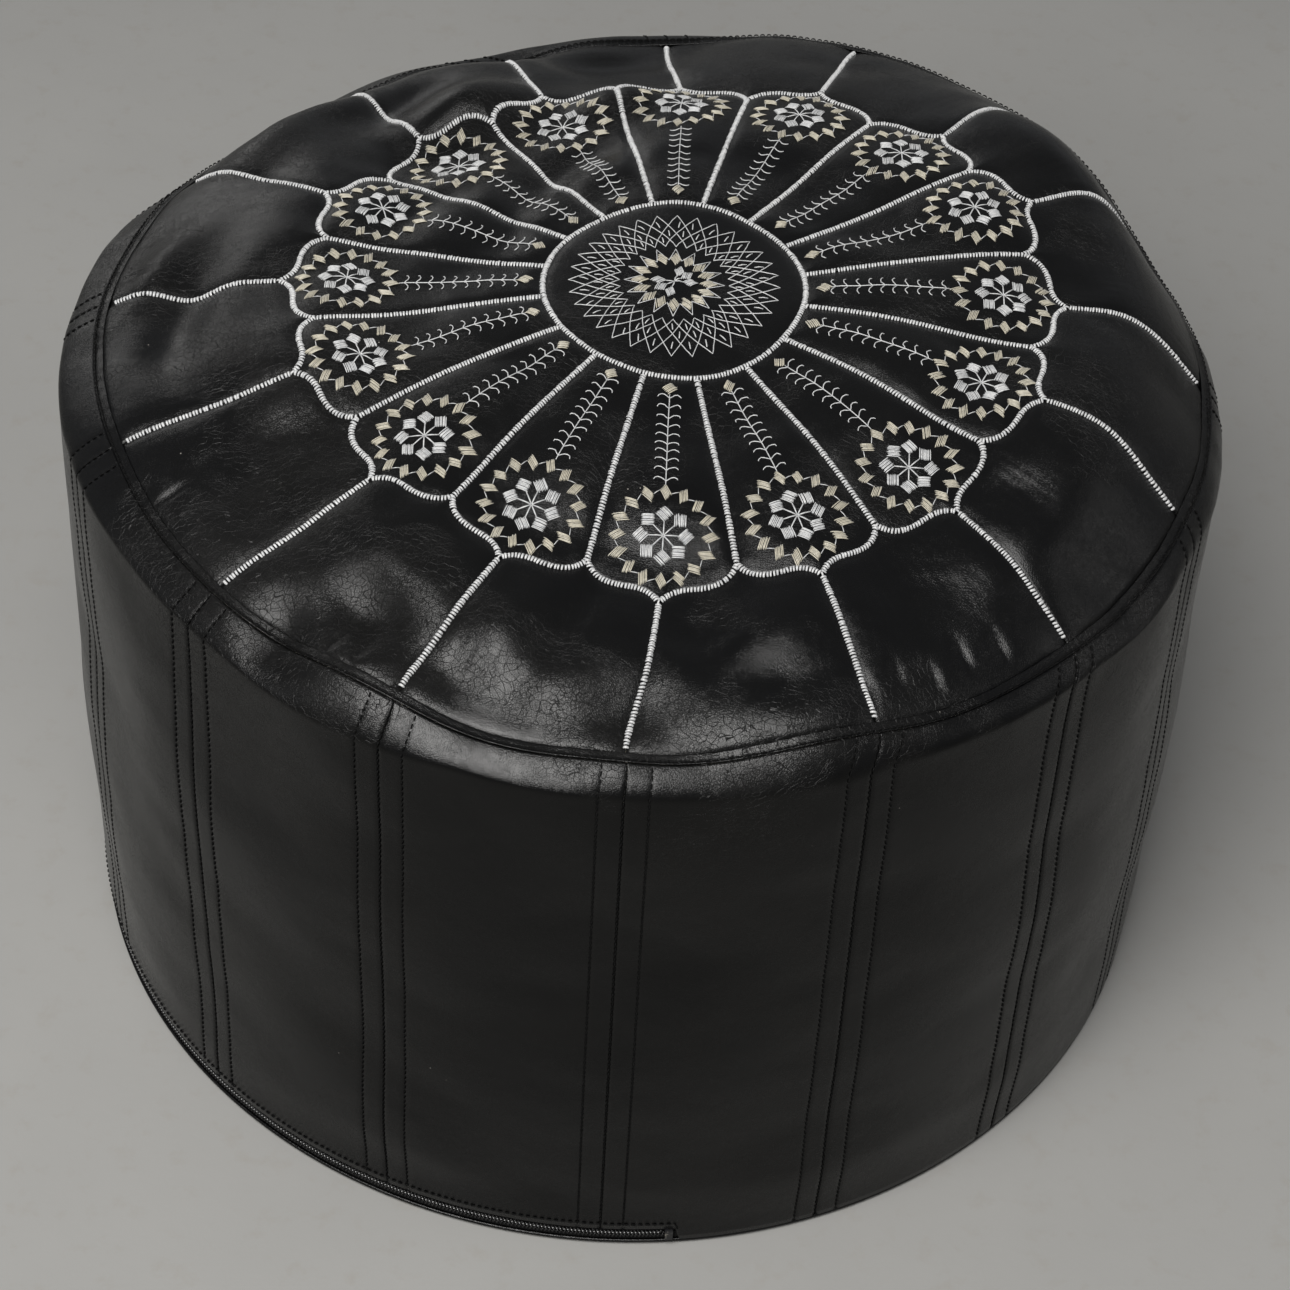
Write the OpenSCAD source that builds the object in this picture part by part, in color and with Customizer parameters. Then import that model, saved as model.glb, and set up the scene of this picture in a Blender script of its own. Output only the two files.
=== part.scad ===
// Moroccan floor pouf: a stuffed drum of black leather panels with a crowned, pieced top,
// a folded rim seam, and a coil zip around half of the foot for filling it.
// Millimetres, +Z up. The origin is on the floor under the middle of the pouf.
// The middle of petal_01 points along -Y, and the panels are numbered anticlockwise from above.

/* [Drum] */
// How many petals, top panels and side panels go round
panel_count = 16; // [8:2:20]
// Largest outside radius of the stuffed wall
drum_radius = 266; // [180:1:340]
// How far the rim seam is drawn in from the largest radius
rim_inset = 17; // [10:0.5:24]
// How far the foot is drawn in from the largest radius
foot_inset = 2; // [1:0.2:14]
// Height of the rim seam above the floor
rim_height = 325; // [200:1:450]
// Rise of the crowned top above the rim seam
crown_rise = 36; // [10:1:60]
// How flat the crown stays towards its middle: 2 is a dish, more is flatter
crown_power = 3; // [2:0.25:5]
// Height of the widest place, as a share of the wall
widest_at = 0.4; // [0.3:0.01:0.8]
// Height of the shoulder under the rim seam
shoulder_drop = 14; // [6:0.5:20]
// How far the shoulder stands out from the rim seam
shoulder_out = 13; // [6:0.5:16]

/* [Leather] */
// Thickness of a panel with its backing
skin = 1.6; // [1:0.1:3]
// Width of the cut line between two neighbouring panels
seam_gap = 0.4; // [0.2:0.1:1]
// Width of the folded lip that stands at the rim seam
lip_width = 2.4; // [1.5:0.1:4]
// Height of the lip from its root to its top
lip_height = 5.6; // [3:0.1:9]
// How far the lip stands above the rim seam
lip_stand = 1.6; // [0.5:0.1:3]

/* [Pieced top] */
// Radius of the round middle panel
medallion_radius = 59; // [30:0.5:90]
// Radius where the arches of two petals meet the seam between them
valley_radius = 161.3; // [110:0.1:200]
// How far the point of an arch reaches past the line between two valleys
arch_rise = 18.8; // [8:0.1:40]

/* [Zip] */
// Height of the zip's middle above the floor
zip_height = 8; // [7:0.1:12]
// Gap between the slider and the bottom panel's turned-up edge under it
turn_up_gap = 0.7; // [0.4:0.1:1]
// Gap between the slider and the hem of the side panels above it
hem_gap = 1.1; // [0.4:0.1:3]
// Direction of the closed end, in degrees anticlockwise from +X
zip_start = 98; // [0:1:360]
// Angle that the zip covers
zip_span = 180; // [60:1:300]
// Thickness of the zip tape
tape_thickness = 0.9; // [0.5:0.1:1.5]
// How far the upper tape reaches up behind the hem
tape_tuck = 12; // [6:0.5:20]
// Gap between the leather and the tape sewn behind it
tape_gap = 0.2; // [0.1:0.05:0.5]
// Height of one row of coil
coil_row = 2.25; // [1.5:0.05:3]
// How far the coil stands out from the tape
coil_depth = 1.6; // [1:0.1:2.5]
// Angle that one end stop covers
stop_angle = 0.8; // [0.4:0.1:1.5]
// Angle from an end of the slot to the end of its stop
stop_inset = 0.6; // [0.3:0.1:1.5]
// How far an end stop stands out past the coil on each side
stop_rise = 0.9; // [0.5:0.1:1.2]

/* [Slider and pull] */
// Length of the slider along the zip
slider_length = 11; // [8:0.5:15]
// Thickness of the slider's plate
slider_plate = 1.2; // [0.8:0.1:2]
// Height of one of the slider's folded flanges
flange_height = 1.1; // [0.8:0.1:1.5]
// Running gap around the slider
slider_gap = 0.3; // [0.2:0.05:0.4]
// Inside length of the loop that holds the pull
loop_length = 5; // [4:0.5:7]
// Free height under the loop
loop_clear = 2.4; // [2:0.1:3]
// Width and thickness of the loop's bar
loop_bar = [2, 1]; // [1:0.1:3]
// Radius of the crossbar at the pull's end
pin_radius = 0.65; // [0.5:0.05:0.9]
// Length of the pull from its crossbar to its tip
pull_length = 27; // [15:0.5:40]
// Width and thickness of the pull
pull_size = [5.8, 1.2]; // [1:0.1:7]

/* [Inside] */
// Gap between the leather and the inner bag
bag_gap = 1.2; // [0.4:0.1:4]
// How far the bag's wall stays inside the rim seam
bag_inset = 4; // [3:0.5:12]
// Thickness of the inner bag's cloth
bag_cloth = 1; // [0.5:0.1:2]
// Gap between the bag and its filling
fill_gap = 0.4; // [0.2:0.1:2]

/* [Hidden] */
$fn = 128;
pitch = 360 / panel_count;
half_pitch = pitch / 2;
rim_radius = drum_radius - rim_inset;
foot_radius = drum_radius - foot_inset;
shoulder_radius = rim_radius + shoulder_out;
shoulder_height = rim_height - shoulder_drop;
lip_root = rim_height + lip_stand - lip_height;
valley_out = valley_radius * cos(half_pitch);
valley_side = valley_radius * sin(half_pitch);
cusp_radius = valley_out + arch_rise;
zip_end = zip_start + zip_span;
coil_gap = 0.1;
coil_split = 0.15;
slider_half = coil_split + coil_row + coil_gap + slider_gap + flange_height;
turn_up = zip_height - slider_half - turn_up_gap;
wall_foot = turn_up + seam_gap;
hem_height = zip_height + slider_half + hem_gap;
tape_face = foot_radius - skin - tape_gap;
coil_face = tape_face + coil_gap;
coil_out = coil_face + coil_depth;
plate_in = coil_out + slider_gap;
plate_out = plate_in + slider_plate;
flange_in = tape_face + slider_gap;
slider_angle = slider_length / plate_in * 180 / PI;
slider_rest = zip_start + stop_inset + stop_angle + slider_gap / plate_in * 180 / PI + slider_angle / 2;
pin_out = plate_out + loop_clear / 2;
pull_clear = 0.5;
pull_shoulder = 0.4;
tape_edge = 0.6;
stop_gap_angle = 0.05;
overcut = 10;
coil_start = zip_start + stop_inset + stop_angle + stop_gap_angle;
coil_span = zip_span - 2 * (coil_start - zip_start);
bag_radius = rim_radius - bag_inset;
leather_color = [0.045, 0.043, 0.042];
tape_color = [0.03, 0.03, 0.032];
coil_color = [0.09, 0.09, 0.095];
metal_color = [0.16, 0.16, 0.17];
cloth_color = [0.82, 0.8, 0.74];

function two_digits(n) = n < 10 ? str("0", n) : str(n);
function row_names(stem) = [for (k = [1:panel_count]) str(stem, two_digits(k))];
petal_names = row_names("petal_");
top_names = row_names("top_panel_");
side_names = row_names("side_panel_");

// Direction of the middle of petal k, and of the seam before side panel k.
function petal_angle(k) = -90 + k * pitch;

// Height of the top's outside at radius r, and the wall's outside radius at height z.
function crown(r) = rim_height + crown_rise * (1 - pow(r / rim_radius, crown_power));
function wall_share(z) = (z - wall_foot) / (shoulder_height - wall_foot);
function bowed(share, end_radius, reach) =
    drum_radius - (drum_radius - end_radius) * pow((share - widest_at) / reach, 2);
function wall_radius(z) =
    wall_share(z) < widest_at
        ? bowed(wall_share(z), foot_radius, widest_at)
        : bowed(wall_share(z), shoulder_radius, 1 - widest_at);

// A cubic curve from a to d with handles b and c, without its last point.
function curve(a, b, c, d, steps) =
    [for (i = [0:steps - 1]) let (t = i / steps, s = 1 - t)
        s * s * s * a + 3 * s * s * t * b + 3 * s * t * t * c + t * t * t * d];

// A point of the arch: sideways as a share of the valley, outwards as a share of the rise.
function arch_point(side, out, nudge) =
    [side * valley_side + nudge[0], valley_out + out * arch_rise + nudge[1]];

// Half of a petal's keel arch, from the valley to the cusp, moved outwards by shift.
function half_arch(shift) = concat(
    curve(arch_point(1, 0, shift * [0.9, 0.4]), arch_point(0.93, 0.4, shift * [0.8, 0.6]),
          arch_point(0.74, 0.58, shift * [0.4, 0.9]), arch_point(0.44, 0.61, shift * [0.1, 1]), 5),
    curve(arch_point(0.44, 0.61, shift * [0.1, 1]), arch_point(0.2, 0.635, shift * [0.2, 1]),
          arch_point(0.09, 0.78, shift * [0.5, 0.9]), arch_point(0, 1, shift * [0, 1.8]), 5),
    [arch_point(0, 1, shift * [0, 1.8])]);

// Points first to last of a list, a list mirrored in the Y axis, and one turned about the origin.
function part_of(points, first, last) = [for (i = [first:last]) points[i]];
function mirrored(points) = [for (i = [len(points) - 1:-1:0]) [-points[i][0], points[i][1]]];
function turned(points, angle) =
    [for (p = points) [p[0] * cos(angle) - p[1] * sin(angle), p[0] * sin(angle) + p[1] * cos(angle)]];

// A ring of the crowned top between two radii.
module crown_ring(inner, outer, steps) {
    radii = [for (i = [0:steps]) inner + (outer - inner) * i / steps];
    upper = [for (r = radii) [r, crown(r)]];
    lower = [for (i = [steps:-1:0]) [radii[i], crown(radii[i]) - skin]];
    rotate_extrude() polygon(concat(upper, lower));
}

// The part of a ring that stands over a flat outline drawn around +Y.
module crown_piece(outline, inner, outer, steps, angle) {
    rotate([0, 0, angle - 90]) intersection() {
        crown_ring(inner, outer, steps);
        linear_extrude(height = rim_height + crown_rise + overcut) polygon(outline);
    }
}

// A band around +Z with the given outline, from one angle over a span.
module band(outline, from, span) {
    rotate([0, 0, from]) rotate_extrude(angle = span) polygon(outline);
}
function box_outline(r0, r1, z0, z1) = [[r0, z0], [r1, z0], [r1, z1], [r0, z1]];

module medallion() {
    color(leather_color) crown_ring(0, medallion_radius - seam_gap / 2, 4);
}

module petal(k) {
    inner = medallion_radius + seam_gap / 2;
    cut = seam_gap / 2 / cos(half_pitch);
    arch = half_arch(-seam_gap / 2);
    cusp = arch[len(arch) - 1];
    right = concat([for (v = [inner * 0.9, valley_out - seam_gap / 2]) [v * tan(half_pitch) - cut, v]],
                   part_of(arch, 1, len(arch) - 2));
    color(leather_color)
        crown_piece(concat(right, [cusp], mirrored(right)), inner, cusp_radius + skin, 6, petal_angle(k));
}

// The top panel between the middles of two petals, outside their arches.
module top_panel(k) {
    outer = rim_radius - seam_gap;
    arch = half_arch(seam_gap / 2);
    edge = [[seam_gap / 2, cusp_radius + seam_gap], [seam_gap / 2, outer + overcut]];
    left = turned(concat(part_of(arch, 1, len(arch) - 2), edge), half_pitch);
    color(leather_color)
        crown_piece(concat([[0, valley_radius + seam_gap]], left, mirrored(left)),
                    valley_radius - skin, outer, 6, petal_angle(k) + half_pitch);
}

// The side panel after seam k, cut away over the zip.
module side_panel(k) {
    gap_angle = seam_gap / drum_radius * 180 / PI;
    steps = 9;
    top_radius = rim_radius + lip_width + seam_gap + skin;
    heights = [for (i = [0:steps]) wall_foot + (shoulder_height - wall_foot) * i / steps];
    outside = concat([for (z = heights) [wall_radius(z), z]], [[top_radius, rim_height]]);
    inside = [for (i = [len(outside) - 1:-1:0]) [outside[i][0] - skin, outside[i][1]]];
    color(leather_color) difference() {
        band(concat(outside, inside), petal_angle(k) + gap_angle / 2, pitch - gap_angle);
        band(box_outline(foot_radius - overcut, foot_radius + overcut, 0, hem_height), zip_start, zip_span);
    }
}

// The folded seam allowance that stands as a small lip all round the rim.
module rim_lip() {
    color(leather_color) rotate_extrude()
        polygon(box_outline(rim_radius, rim_radius + lip_width, lip_root, lip_root + lip_height));
}

module bottom_panel() {
    inside = foot_radius - skin;
    color(leather_color) rotate_extrude()
        polygon([[0, 0], [foot_radius, 0], [foot_radius, turn_up], [inside, turn_up], [inside, skin],
                 [0, skin]]);
}

module zip_tape_upper() {
    color(tape_color)
        band(box_outline(tape_face - tape_thickness, tape_face, zip_height + tape_edge,
                         hem_height + tape_tuck), zip_start, zip_span);
}

module zip_tape_lower() {
    color(tape_color)
        band(box_outline(tape_face - tape_thickness, tape_face, skin + tape_edge,
                         zip_height - tape_edge), zip_start, zip_span);
}

// One row of coil on the face of its tape, between the two end stops.
module zip_coil(low) {
    color(coil_color)
        band(box_outline(coil_face, coil_out, low, low + coil_row), coil_start, coil_span);
}
module zip_coil_upper() { zip_coil(zip_height + coil_split); }
module zip_coil_lower() { zip_coil(zip_height - coil_split - coil_row); }

// The two end stops, clamped over the ends of the coil.
module zip_stops() {
    half = coil_split + coil_row + stop_rise;
    for (from = [zip_start + stop_inset, zip_end - stop_inset - stop_angle])
        color(metal_color)
            band(box_outline(coil_face, plate_in + stop_rise, zip_height - half, zip_height + half),
                 from, stop_angle);
}

// The slider's plate with two flanges that fold round the coil, and the loop for its pull.
module zip_slider() {
    low = zip_height - slider_half;
    high = zip_height + slider_half;
    loop_half = loop_length / 2;
    leg = loop_half + loop_bar[1];
    foot = plate_out - slider_plate / 2;
    under = plate_out + loop_clear;
    over = under + loop_bar[1];
    color(metal_color) {
        band([[flange_in, low], [plate_out, low], [plate_out, high], [flange_in, high],
              [flange_in, high - flange_height], [plate_in, high - flange_height],
              [plate_in, low + flange_height], [flange_in, low + flange_height]],
             slider_rest - slider_angle / 2, slider_angle);
        rotate([0, 0, slider_rest]) translate([0, 0, zip_height - loop_bar[0] / 2])
            linear_extrude(height = loop_bar[0])
                polygon([[foot, -leg], [over, -leg], [over, leg], [foot, leg], [foot, loop_half],
                         [under, loop_half], [under, -loop_half], [foot, -loop_half]]);
    }
}

// The pull: a flat tab with a window at one end, closed by the crossbar under the loop.
module zip_pull() {
    width = pull_size[0];
    thick = pull_size[1];
    window = loop_bar[0] / 2 + pull_clear;
    window_end = loop_length / 2 + loop_bar[1] + pull_clear + pull_shoulder;
    eye_place = pull_length - width * 0.7;
    eye_radius = width * 0.22;
    color(metal_color) rotate([0, 0, slider_rest]) translate([pin_out, 0, zip_height]) {
        cylinder(r = pin_radius, h = width, center = true);
        translate([-thick / 2, 0, 0]) rotate([0, 90, 0]) linear_extrude(height = thick)
            difference() {
                union() {
                    translate([-width / 2, 0]) square([width, pull_length - width / 2]);
                    translate([0, pull_length - width / 2]) circle(r = width / 2);
                }
                translate([-window, -thick]) square([2 * window, window_end + thick]);
                translate([0, eye_place]) circle(r = eye_radius);
            }
    }
}

// Half section of the stuffed bag, moved inwards all round.
function bag_section(inset) =
    let (side = bag_radius - inset, floor_z = skin + bag_gap + inset, steps = 8, corner = 8)
    concat([[0, floor_z], [side - corner, floor_z], [side, floor_z + corner]],
           [for (i = [0:steps]) let (r = side * (1 - i / steps)) [r, crown(r) - skin - bag_gap - inset]]);

module inner_bag() {
    cloth = bag_section(bag_cloth);
    color(cloth_color) rotate_extrude()
        polygon(concat(bag_section(0), [for (i = [len(cloth) - 1:-1:0]) cloth[i]]));
}

module filling() {
    color(cloth_color) rotate_extrude() polygon(bag_section(bag_cloth + fill_gap));
}

medallion();
for (k = [0:panel_count - 1]) {
    petal(k);
    top_panel(k);
    side_panel(k);
}
rim_lip();
bottom_panel();
zip_tape_upper();
zip_tape_lower();
zip_coil_upper();
zip_coil_lower();
zip_stops();
zip_slider();
zip_pull();
inner_bag();
filling();
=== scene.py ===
import math

import bpy
import numpy as np
from mathutils import Matrix, Vector


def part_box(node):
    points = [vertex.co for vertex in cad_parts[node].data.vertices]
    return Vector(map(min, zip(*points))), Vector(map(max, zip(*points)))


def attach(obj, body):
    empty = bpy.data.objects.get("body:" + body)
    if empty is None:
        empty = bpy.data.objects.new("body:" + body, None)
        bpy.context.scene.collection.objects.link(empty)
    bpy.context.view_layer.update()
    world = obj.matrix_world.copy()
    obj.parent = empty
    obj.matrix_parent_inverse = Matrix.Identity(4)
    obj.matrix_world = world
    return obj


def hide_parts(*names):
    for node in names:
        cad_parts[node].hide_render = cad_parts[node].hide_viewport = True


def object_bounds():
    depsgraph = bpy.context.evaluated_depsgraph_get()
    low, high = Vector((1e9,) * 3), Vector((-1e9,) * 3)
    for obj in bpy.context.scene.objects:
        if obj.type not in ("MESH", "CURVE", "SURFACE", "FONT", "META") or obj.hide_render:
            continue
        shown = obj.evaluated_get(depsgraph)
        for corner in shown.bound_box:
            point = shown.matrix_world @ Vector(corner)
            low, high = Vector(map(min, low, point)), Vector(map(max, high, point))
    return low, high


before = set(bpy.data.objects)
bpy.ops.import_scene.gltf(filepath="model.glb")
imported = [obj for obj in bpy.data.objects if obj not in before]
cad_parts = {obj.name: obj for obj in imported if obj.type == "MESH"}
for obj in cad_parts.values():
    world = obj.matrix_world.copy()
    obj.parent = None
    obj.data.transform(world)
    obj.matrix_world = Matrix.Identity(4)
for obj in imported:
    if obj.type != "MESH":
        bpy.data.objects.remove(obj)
cad_low, cad_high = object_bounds()
rng = np.random.default_rng(16)

# ---------------------------------------------------------------- sizes, in metres
MM = 0.001
PANELS = 16
PITCH = 2 * math.pi / PANELS
SKIN = 1.6 * MM
GAP = 0.4 * MM
TOPSTITCH = 10 * MM
LIP_WIDTH = 2.4 * MM
LIP_STAND = 1.6 * MM
VALLEY = 161.3 * MM
ARCH_RISE = 18.8 * MM
ZIP_START = math.radians(98)
ZIP_END = math.radians(278)

lip_low, lip_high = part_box("rim_lip")
bottom_low, bottom_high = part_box("bottom_panel")
coil_low, coil_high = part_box("zip_coil_upper")
coil_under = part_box("zip_coil_lower")[0]
tape_low, tape_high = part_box("zip_tape_upper")
tape_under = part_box("zip_tape_lower")[0]
RIM = lip_high.x - LIP_WIDTH
RIM_Z = lip_high.z - LIP_STAND
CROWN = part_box("medallion")[1].z - RIM_Z
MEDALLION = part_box("medallion")[1].x + GAP / 2
DRUM = cad_high.x
FOOT = bottom_high.x
TURN_UP = bottom_high.z
COIL_OUT = -coil_low.x
ZIP_Z = (coil_high.z + coil_under.z) / 2
HEM = 13 * MM
COIL_PITCH = 1.76 * MM
COIL_HALF = 0.8 * MM
TAPE_BEHIND = 1.7 * MM
TAPE_THICK = 0.9 * MM
WALL_FOOT = TURN_UP + GAP

# The wall of the cover starts outside the lip, bends over a shoulder and goes down to the hem.
GROOVE = 4.4 * MM
SHOULDER_OUT = DRUM - RIM - GROOVE - 1.2 * MM
SHOULDER_DROP = 13 * MM
SHOULDER_ARC = math.pi / 2 * math.sqrt((SHOULDER_OUT ** 2 + SHOULDER_DROP ** 2) / 2)
SHOULDER_BEVEL = 1.3
SHOULDER_START = math.radians(25)
LIP_FALL = 1.5 * MM
WALL_START = RIM + GROOVE
WALL_TOP = RIM_Z - SHOULDER_DROP


def petal_angle(k):
    """Direction of the middle of petal k, which is also the seam before side panel k."""
    return -math.pi / 2 + k * PITCH


def wrap(angle):
    return (angle + math.pi) % (2 * math.pi) - math.pi


def bump(x, width):
    return np.exp(-(x / width) ** 2)


def unit(vectors):
    return vectors / np.maximum(np.linalg.norm(vectors, axis=-1, keepdims=True), 1e-12)


def full_turn(count):
    return np.linspace(0, 2 * math.pi, count, endpoint=False)


def add_object(name, data):
    made = bpy.data.objects.new(name, data)
    bpy.context.scene.collection.objects.link(made)
    return made


def smooth_step(x, start, end):
    t = np.clip((x - start) / (end - start), 0, 1)
    return t * t * (3 - 2 * t)


# ---------------------------------------------------------------- camera
CAMERA_AZIMUTH = math.radians(-0.54)
CAMERA_ELEVATION = math.radians(45.26)
CAMERA_ROLL = math.radians(3.38)
CAMERA_DISTANCE = 1.742
CAMERA_TARGET = Vector((0.0074, 0, 0.1333))
CAMERA_LENS = 98.34


def make_camera():
    data = bpy.data.cameras.new("camera")
    data.lens = CAMERA_LENS
    data.sensor_width = 36
    data.clip_start = 0.05
    data.clip_end = 50
    camera = add_object("camera", data)
    back = Vector((math.cos(CAMERA_ELEVATION) * math.sin(CAMERA_AZIMUTH),
                   -math.cos(CAMERA_ELEVATION) * math.cos(CAMERA_AZIMUTH),
                   math.sin(CAMERA_ELEVATION)))
    level = (-back).cross(Vector((0, 0, 1))).normalized()
    upright = level.cross(-back)
    right = math.cos(CAMERA_ROLL) * level + math.sin(CAMERA_ROLL) * upright
    up = math.cos(CAMERA_ROLL) * upright - math.sin(CAMERA_ROLL) * level
    place = CAMERA_TARGET + back * CAMERA_DISTANCE
    rows = [[right[i], up[i], back[i], place[i]] for i in range(3)]
    camera.matrix_world = Matrix(rows + [[0, 0, 0, 1]])
    bpy.context.scene.camera = camera


make_camera()

# ---------------------------------------------------------------- how the stuffed leather has settled
# Each row: direction in degrees and unrolled radius in mm of its middle, size across and along in mm,
# turn in degrees, then how far it moves outwards and upwards in mm.
HOLLOWS = [
    (0, 0, 80, 80, 0, 0, 6),
    (-24, 186, 62, 32, 0, 0, 16),
    (6, 206, 58, 24, 0, 0, 9),
    (14, 266, 112, 25, 0, 0, -32),
    (30, 212, 50, 20, 0, 0, 12),
    (-30, 215, 56, 18, 0, 0, 8),
    (-36, 258, 50, 12, 0, 0, -7),
    (34, 160, 58, 42, 0, 0, 7),
    (101, 161, 15, 14, 0, 0, 8),
    (124, 180, 26, 16, 0, 0, 12),
    (112, 250, 30, 12, 0, 0, -10),
    (139, 162, 26, 20, 0, 0, -9),
    (158, 116, 34, 20, 0, 0, 3),
    (-93, 164, 56, 26, 0, 0, -8),
    (-72, 240, 40, 22, 0, 0, 6),
    (-158, 172, 30, 24, 0, 0, 8),
    (-120, 225, 18, 12, 10, 0, -9),
    (-123, 203, 24, 7, 10, 0, 2.5),
    (-126, 251, 13, 11, 0, -4, -6),
    (-107, 210, 12, 13, 20, 0, 4),
    (-109, 233, 16, 8, 0, 0, -3),
    (-101, 204, 7, 18, 14, 0, -2),
    (-99, 225, 22, 9, 16, 0, 3),
    (-92, 232, 20, 10, 0, 0, -3),
    (-84, 196, 16, 10, 0, 0, -3),
    (-74, 225, 20, 9, 12, 0, -3),
    (-76, 199, 24, 13, 0, 0, 3.5),
    (-142, 214, 26, 16, 10, 0, -3),
    (130, 210, 30, 12, -10, 0, -7),
    (146, 230, 46, 13, 0, 0, 8),
    (144, 264, 60, 20, 0, 0, -16),
    (-176, 215, 34, 10, 8, 0, -8),
    (176, 232, 18, 7, 10, 0, 4),
    (121, 108, 34, 9, -22, 0, -3),
    (118, 91, 36, 10, -22, 0, 2),
    (150, 130, 26, 10, 10, 0, -3),
    (100, 222, 26, 12, 0, 0, -4),
]
PUCKERS = [(-67, 236), (-63.5, 233), (-60, 237), (-56, 233), (-52, 236), (-121, 241), (-118, 240),
           (176, 240), (-148, 241)]


def saddle(theta):
    """How far the rim stands above or below its plain height."""
    sag = 4 + 4 * np.cos(theta + math.radians(13)) + 10 * np.cos(2 * theta - math.radians(40))
    return (sag + 1.5 * np.cos(3 * theta - math.radians(160))) * MM


def drift(rho):
    """How far the top is sewn off to the right of the wall below it."""
    middle = 11 - 6.3 * smooth_step(rho, VALLEY, RIM)
    return middle * MM * (1 - smooth_step(rho, WALL_START, WALL_START + SHOULDER_ARC))


# Sideways wander of each outer seam's end along the rim, in mm, from the front seam anticlockwise.
SEAM_WANDER = [-5, 2, 4, 2, -2, 0, 0, 3, 2, -9, -20, -14, -3, 1, -3, -4]
# The seam left of the front one starts to wander only this share of the way to the rim.
LATE_BEND = 0.6


def wander(theta, rho):
    """The outer seams drift along the rim and take the leather between them along."""
    at = (theta + math.pi / 2) / PITCH
    low = np.floor(at).astype(int)
    share = at - low
    share = share * share * (3 - 2 * share)
    ends = np.array(SEAM_WANDER) * MM
    along = ends[low % PANELS] * (1 - share) + ends[(low + 1) % PANELS] * share
    late = VALLEY + LATE_BEND * (RIM - VALLEY) * bump(wrap(theta + math.pi / 2 + PITCH / 2), 0.6)
    return along * smooth_step(rho, late, RIM) * (1 - smooth_step(rho, RIM, WALL_START + SHOULDER_ARC))


def ripples():
    """Random flat waves that break up the plain shape: their directions, phases and heights."""
    count = 26
    direction = rng.normal(size=(count, 3))
    direction /= np.linalg.norm(direction, axis=1)[:, None]
    length = rng.uniform(0.05, 0.16, count)
    return direction * (2 * math.pi / length)[:, None], rng.uniform(0, 6.3, count), length * 0.0042


RIPPLES = ripples()
wrinkles = {}


def plain_place(rho):
    """The plain cover at an unrolled radius: its radius and height there."""
    share = np.clip((rho - WALL_START) / SHOULDER_ARC, 0, 1)
    bend = SHOULDER_START + share * (math.pi / 2 - SHOULDER_START)
    below = np.maximum(rho - WALL_START - SHOULDER_ARC, 0)
    z_wall = WALL_TOP - below
    low_share = np.clip(z_wall / WALL_TOP, 0, 1)
    drawn_in = (DRUM - FOOT) * np.maximum(0.4 - low_share, 0) ** 2 / 0.16
    wall_out = 1.2 * MM * smooth_step(low_share, 1, 0.55) - drawn_in
    on_wall = rho >= WALL_START
    first = math.sin(SHOULDER_START) ** SHOULDER_BEVEL
    across = (np.sin(bend) ** SHOULDER_BEVEL - first) / (1 - first)
    down = 1 - (np.cos(bend) / math.cos(SHOULDER_START)) ** SHOULDER_BEVEL
    r = np.where(on_wall, WALL_START + SHOULDER_OUT * across + wall_out * (below > 0), rho)
    crown = RIM_Z + CROWN * (1 - np.minimum(rho / RIM, 1) ** 3)
    crown = crown - LIP_FALL * np.clip((rho - RIM) / GROOVE, 0, 1)
    z = np.where(on_wall, RIM_Z - LIP_FALL - (SHOULDER_DROP - LIP_FALL) * down - below, crown)
    return r, z


def arch_table():
    """Direction and radius along half of a petal's keel arch, from its point to the valley."""
    handles = [[(1, 0), (0.93, 0.4), (0.74, 0.58), (0.44, 0.61)],
               [(0.44, 0.61), (0.2, 0.635), (0.09, 0.78), (0, 1)]]
    t = np.linspace(0, 1, 40)[:, None]
    parts = [(1 - t) ** 3 * a + 3 * (1 - t) ** 2 * t * b + 3 * (1 - t) * t * t * c + t ** 3 * d
             for a, b, c, d in np.array(handles, float)]
    curve = np.concatenate([parts[0], parts[1][1:]])
    side = curve[:, 0] * VALLEY * math.sin(PITCH / 2)
    out = VALLEY * math.cos(PITCH / 2) + curve[:, 1] * ARCH_RISE
    order = np.argsort(np.arctan2(side, out))
    return np.arctan2(side, out)[order], np.hypot(side, out)[order]


ARCH_ANGLE, ARCH_RADIUS = arch_table()
CUSP = ARCH_RADIUS[0]


def arch(offset):
    """Radius of the arch at an angle from its petal's middle."""
    return np.interp(np.abs(offset), ARCH_ANGLE, ARCH_RADIUS)


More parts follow.
